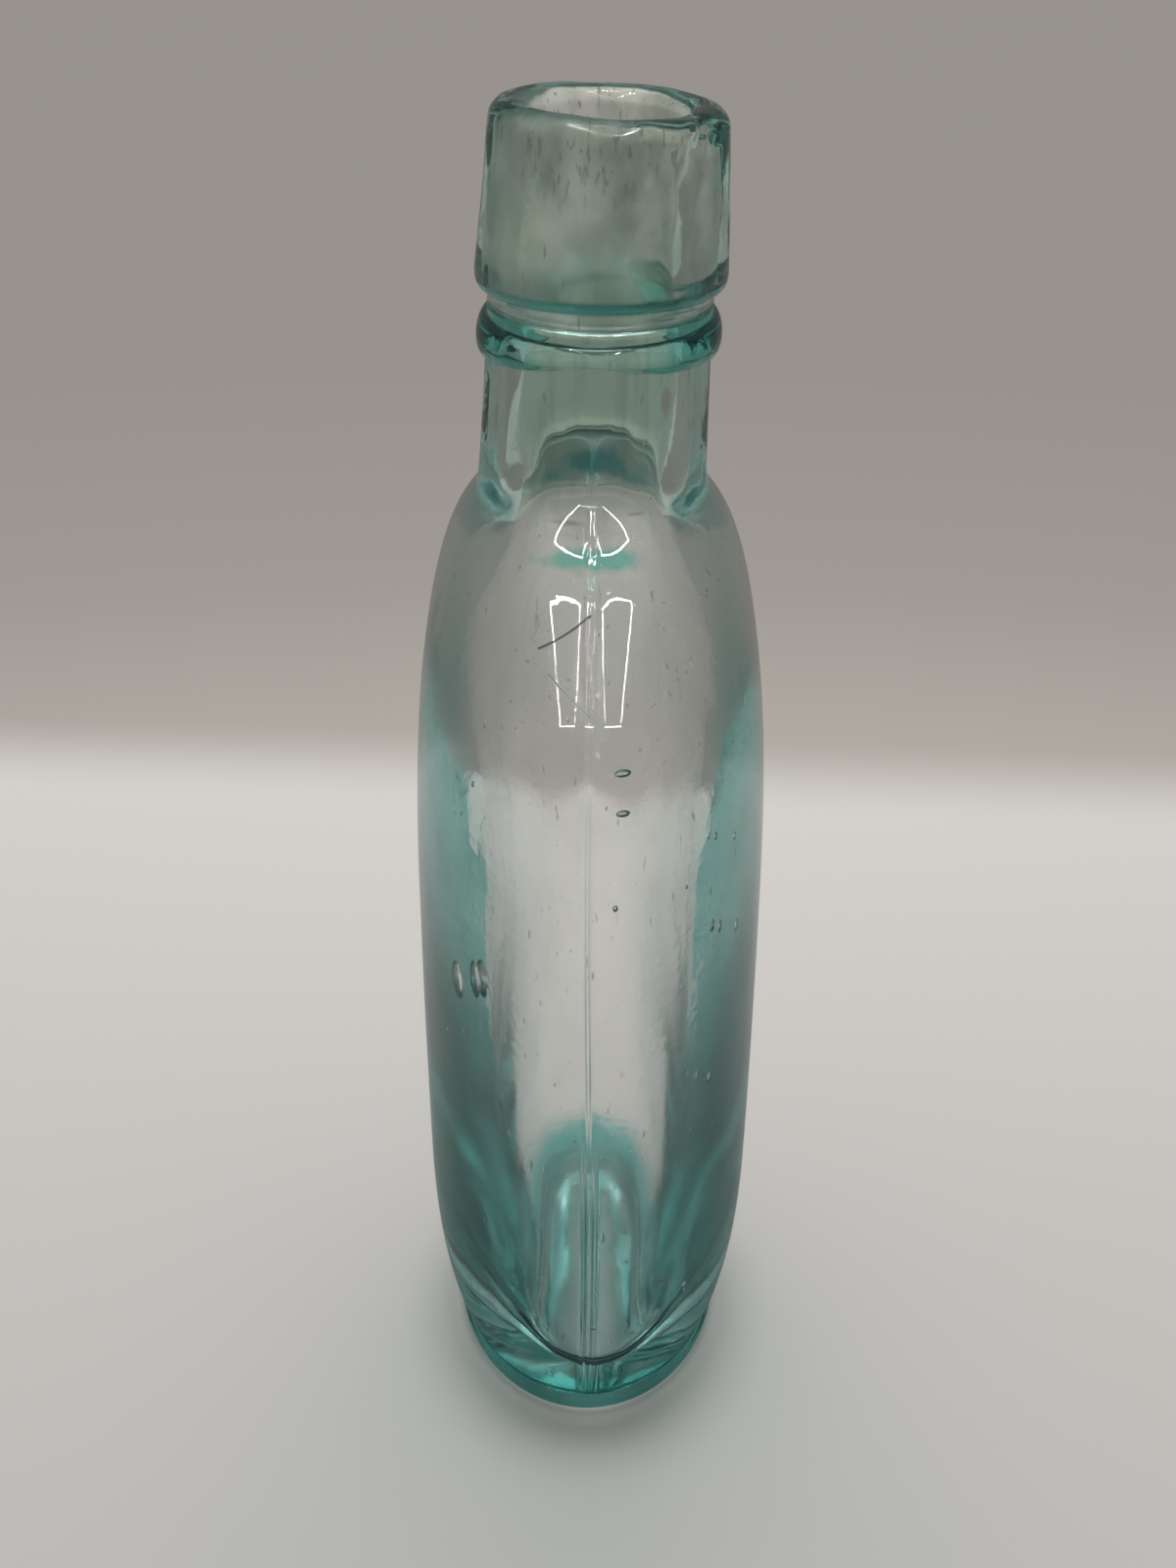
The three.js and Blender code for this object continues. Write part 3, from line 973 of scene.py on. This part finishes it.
def paintCollar(tree, parts, rough):
    v = collarPaintValues
    across = figure(tree, "MULTIPLY", parts["X"], parts["X"])
    radius = figure(tree, "SQRT", figure(tree, "MULTIPLY_ADD", parts["Y"], parts["Y"], across))
    low, high, boreBlur = v["bore"]
    outside = ramped(tree, radius, low, high)
    place = placeOf(tree)
    scale, stretch, low, high = v["mottle"]
    colour = mixed(tree, ramped(tree, grain(tree, place, scale, stretch, 3.0), low, high), *v["cloud"])
    stretch, heights, limits, tint = v["rimScratches"]
    lines = ramped(tree, grain(tree, place, 1.0, stretch, 1.0), *limits)
    colour = mixed(tree, figure(tree, "MULTIPLY", lines, ramped(tree, parts["Z"], *heights)), colour, tint)
    slope = math.tan(math.radians(collarValues["askew"]))
    level = figure(tree, "MULTIPLY_ADD", parts["X"], -slope, parts["Z"])
    level = figure(tree, "SUBTRACT", level, (neckEnd + neckRadius * slope) * millimetre)
    # Painted shade: the lower edge's dark teal band, where a ray enters
    start, end, tint = v["edge"]
    edge = figure(tree, "SUBTRACT", ramped(tree, level, *start), ramped(tree, level, *end))
    colour = mixed(tree, figure(tree, "MULTIPLY", edge, enteringOf(tree, outside)), colour, tint)
    middle, size, tint = v["stain"]
    colour = mixed(tree, useGroup(tree, patch, Middle=middle, Size=size)["Mask"], colour, tint)
    inside = figure(tree, "SUBTRACT", 1.0, outside)
    return colour, figure(tree, "MULTIPLY_ADD", inside, boreBlur, rough)


for piece, node, key, paint in (
    (bodyGlass, "flask_body", "body", paintBody),
    (ringGlass, "string_ring", "ring", paintRing),
    (collarGlass, "collar", "collar", paintCollar),
):
    piece.data.materials.append(makeGlass(key + "Glass", glassValues[key + "Density"], paint))
    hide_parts(node)
    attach(piece, "root")
print("glass set")

# How much of the surroundings shows, as painted light and shade: through the glass, mirrored outside it, thrown back
# once or more inside it
roomValues = {
    "nearFloor": (1.0, 0.4, 0.16, 0.065),
    "farFloor": (1.0, 0.65, 0.8, 0.62),
    "backdrop": (1.22, 0.6, 0.75, 0.6),
    "floorReach": (0.03, 0.15),
}


# The share of that which a ray sees, from the way it has come
def insideEcho(tree, echoes):
    through, mirrored, once, more = echoes
    path = tree.nodes.new("ShaderNodeLightPath")
    thrown = figure(tree, "GREATER_THAN", path.outputs["Glossy Depth"], 0.5)
    again = figure(tree, "GREATER_THAN", path.outputs["Glossy Depth"], 1.5)
    inGlass = figure(tree, "GREATER_THAN", path.outputs["Transmission Depth"], 0.5)
    plain = between(tree, inGlass, 1.0, through)
    echo = between(tree, inGlass, mirrored, between(tree, again, once, more))
    return between(tree, thrown, plain, echo)


# Pale floor that ends softly behind the flask, in front of a grey backdrop, with painted shade: darker and greener
# where the glass mirrors it or throws it back
floorValues = {
    "colour": (0.565, 0.55, 0.53, 1),
    "echoShadeColour": (0.28, 0.49, 0.48, 1),
    "echoLimits": (0.1, 0.6),
    "roughness": 0.9,
    "back": -0.3,
    "edge": -0.149,
    "edgeSlope": 0.055,
    "softness": 0.016,
    "reach": 1.2,
    "fade": (0.5, 1.1),
}


def makeFloor():
    v = floorValues
    back, reach = v["back"], v["reach"]
    corners = [(back, -reach, 0), (reach, -reach, 0), (reach, reach, 0), (back, reach, 0)]
    mesh = bpy.data.meshes.new("floor")
    mesh.from_pydata(corners, [], [(0, 1, 2, 3)])
    floor = bpy.data.objects.new("floor", mesh)
    scene.collection.objects.link(floor)
    material = bpy.data.materials.new("paleFloor")
    material.use_nodes = True
    tree = material.node_tree
    shader = tree.nodes["Principled BSDF"]
    shader.inputs["Roughness"].default_value = v["roughness"]
    shader.inputs["Specular IOR Level"].default_value = 0
    place = placeOf(tree)
    distance = arrow(tree, "LENGTH", place)
    outward = ramped(tree, distance, *roomValues["floorReach"], "LINEAR")
    # Painted shade: the floor is darker and greener where the glass mirrors it or throws it back
    near, far = insideEcho(tree, roomValues["nearFloor"]), insideEcho(tree, roomValues["farFloor"])
    echo = between(tree, outward, near, far)
    colour = mixed(tree, ramped(tree, echo, *v["echoLimits"]), v["echoShadeColour"], v["colour"])
    tree.links.new(arrow(tree, "MULTIPLY", colour, echo), shader.inputs["Base Color"])
    parts = partsOf(tree, place)
    slope = figure(tree, "MULTIPLY_ADD", parts["Y"], -v["edgeSlope"], parts["X"])
    shown = ramped(tree, slope, v["edge"] - v["softness"], v["edge"] + v["softness"])
    tree.links.new(without(tree, shown, ramped(tree, distance, *v["fade"])), shader.inputs["Alpha"])
    mesh.materials.append(material)


makeFloor()

# World: plain even light, with a grey backdrop where the camera or the glass looks at it, painted brighter through
# the glass and dimmer where the glass mirrors it or throws it back
worldValues = {
    "ambient": (0.32, 0.315, 0.305, 1),
    "backdrop": ((-1.0, (0.45, 0.42, 0.39)), (-0.47, (0.45, 0.41, 0.375)), (-0.415, (0.35, 0.325, 0.30)),
                 (-0.34, (0.31, 0.288, 0.27)), (0.3, (0.32, 0.30, 0.28)), (0.78, (0.36, 0.35, 0.34)),
                 (0.93, (1.0, 0.99, 0.97))),
}


def makeWorld():
    world = bpy.data.worlds.new("softRoom")
    world.use_nodes = True
    scene.world = world
    tree = world.node_tree
    nodes, links = tree.nodes, tree.links
    nodes.clear()
    height = partsOf(tree, nodes.new("ShaderNodeTexCoord").outputs["Generated"])["Z"]
    ramp = nodes.new("ShaderNodeValToRGB")
    stops = ramp.color_ramp.elements
    while len(stops) < len(worldValues["backdrop"]):
        stops.new(0.5)
    for stop, (z, colour) in zip(stops, worldValues["backdrop"]):
        stop.position = (z + 1) / 2
        stop.color = (*colour, 1)
    links.new(ramped(tree, height, -1, 1, "LINEAR"), ramp.inputs["Fac"])
    seen = nodes.new("ShaderNodeBackground")
    links.new(ramp.outputs["Color"], seen.inputs["Color"])
    # Painted light and shade: the backdrop is brighter through the glass and dimmer in its reflections
    links.new(insideEcho(tree, roomValues["backdrop"]), seen.inputs["Strength"])
    ambient = nodes.new("ShaderNodeBackground")
    ambient.inputs["Color"].default_value = worldValues["ambient"]
    path = nodes.new("ShaderNodeLightPath").outputs
    looked = figure(tree, "MAXIMUM", path["Is Camera Ray"], path["Is Glossy Ray"])
    looked = figure(tree, "MAXIMUM", looked, path["Is Transmission Ray"])
    mix = nodes.new("ShaderNodeMixShader")
    links.new(looked, mix.inputs["Fac"])
    links.new(ambient.outputs[0], mix.inputs[1])
    links.new(seen.outputs[0], mix.inputs[2])
    out = nodes.new("ShaderNodeOutputWorld")
    links.new(mix.outputs[0], out.inputs["Surface"])


makeWorld()

# A frame of four strip lamps overhead, between the camera and the flask
lampValues = {
    "height": 0.40,
    "near": 0.33,
    "far": 0.005,
    "half": 0.085,
    "width": 0.003,
    "radiance": 100.0,
    "overheadPlace": (-0.45, 0, 0.8),
    "overheadSize": 0.6,
    "overheadPower": 8.0,
}


def makeLamps():
    v = lampValues
    middle = (v["near"] + v["far"]) / 2
    length = v["near"] - v["far"]
    for name, x, y, sizeX, sizeY in (
        ("lampNear", v["near"], 0, v["width"], 2 * v["half"]),
        ("lampFar", v["far"], 0, v["width"], 2 * v["half"]),
        ("lampLeft", middle, -v["half"], length, v["width"]),
        ("lampRight", middle, v["half"], length, v["width"]),
    ):
        data = bpy.data.lights.new(name, "AREA")
        data.shape = "RECTANGLE"
        data.size, data.size_y = sizeX, sizeY
        data.energy = math.pi * v["radiance"] * sizeX * sizeY
        lamp = bpy.data.objects.new(name, data)
        lamp.location = (x, y, v["height"])
        lamp.visible_diffuse = False
        scene.collection.objects.link(lamp)


def makeOverhead():
    data = bpy.data.lights.new("lampOverhead", "AREA")
    data.size = lampValues["overheadSize"]
    data.energy = lampValues["overheadPower"]
    lamp = bpy.data.objects.new("lampOverhead", data)
    lamp.location = lampValues["overheadPlace"]
    lamp.visible_glossy = False
    lamp.visible_transmission = False
    scene.collection.objects.link(lamp)


makeLamps()
makeOverhead()
scene.cycles.caustics_reflective = False
scene.cycles.caustics_refractive = False
scene.cycles.max_bounces = 32
scene.cycles.transmission_bounces = 32
scene.cycles.glossy_bounces = 16
scene.cycles.transparent_max_bounces = 16
print("light set")
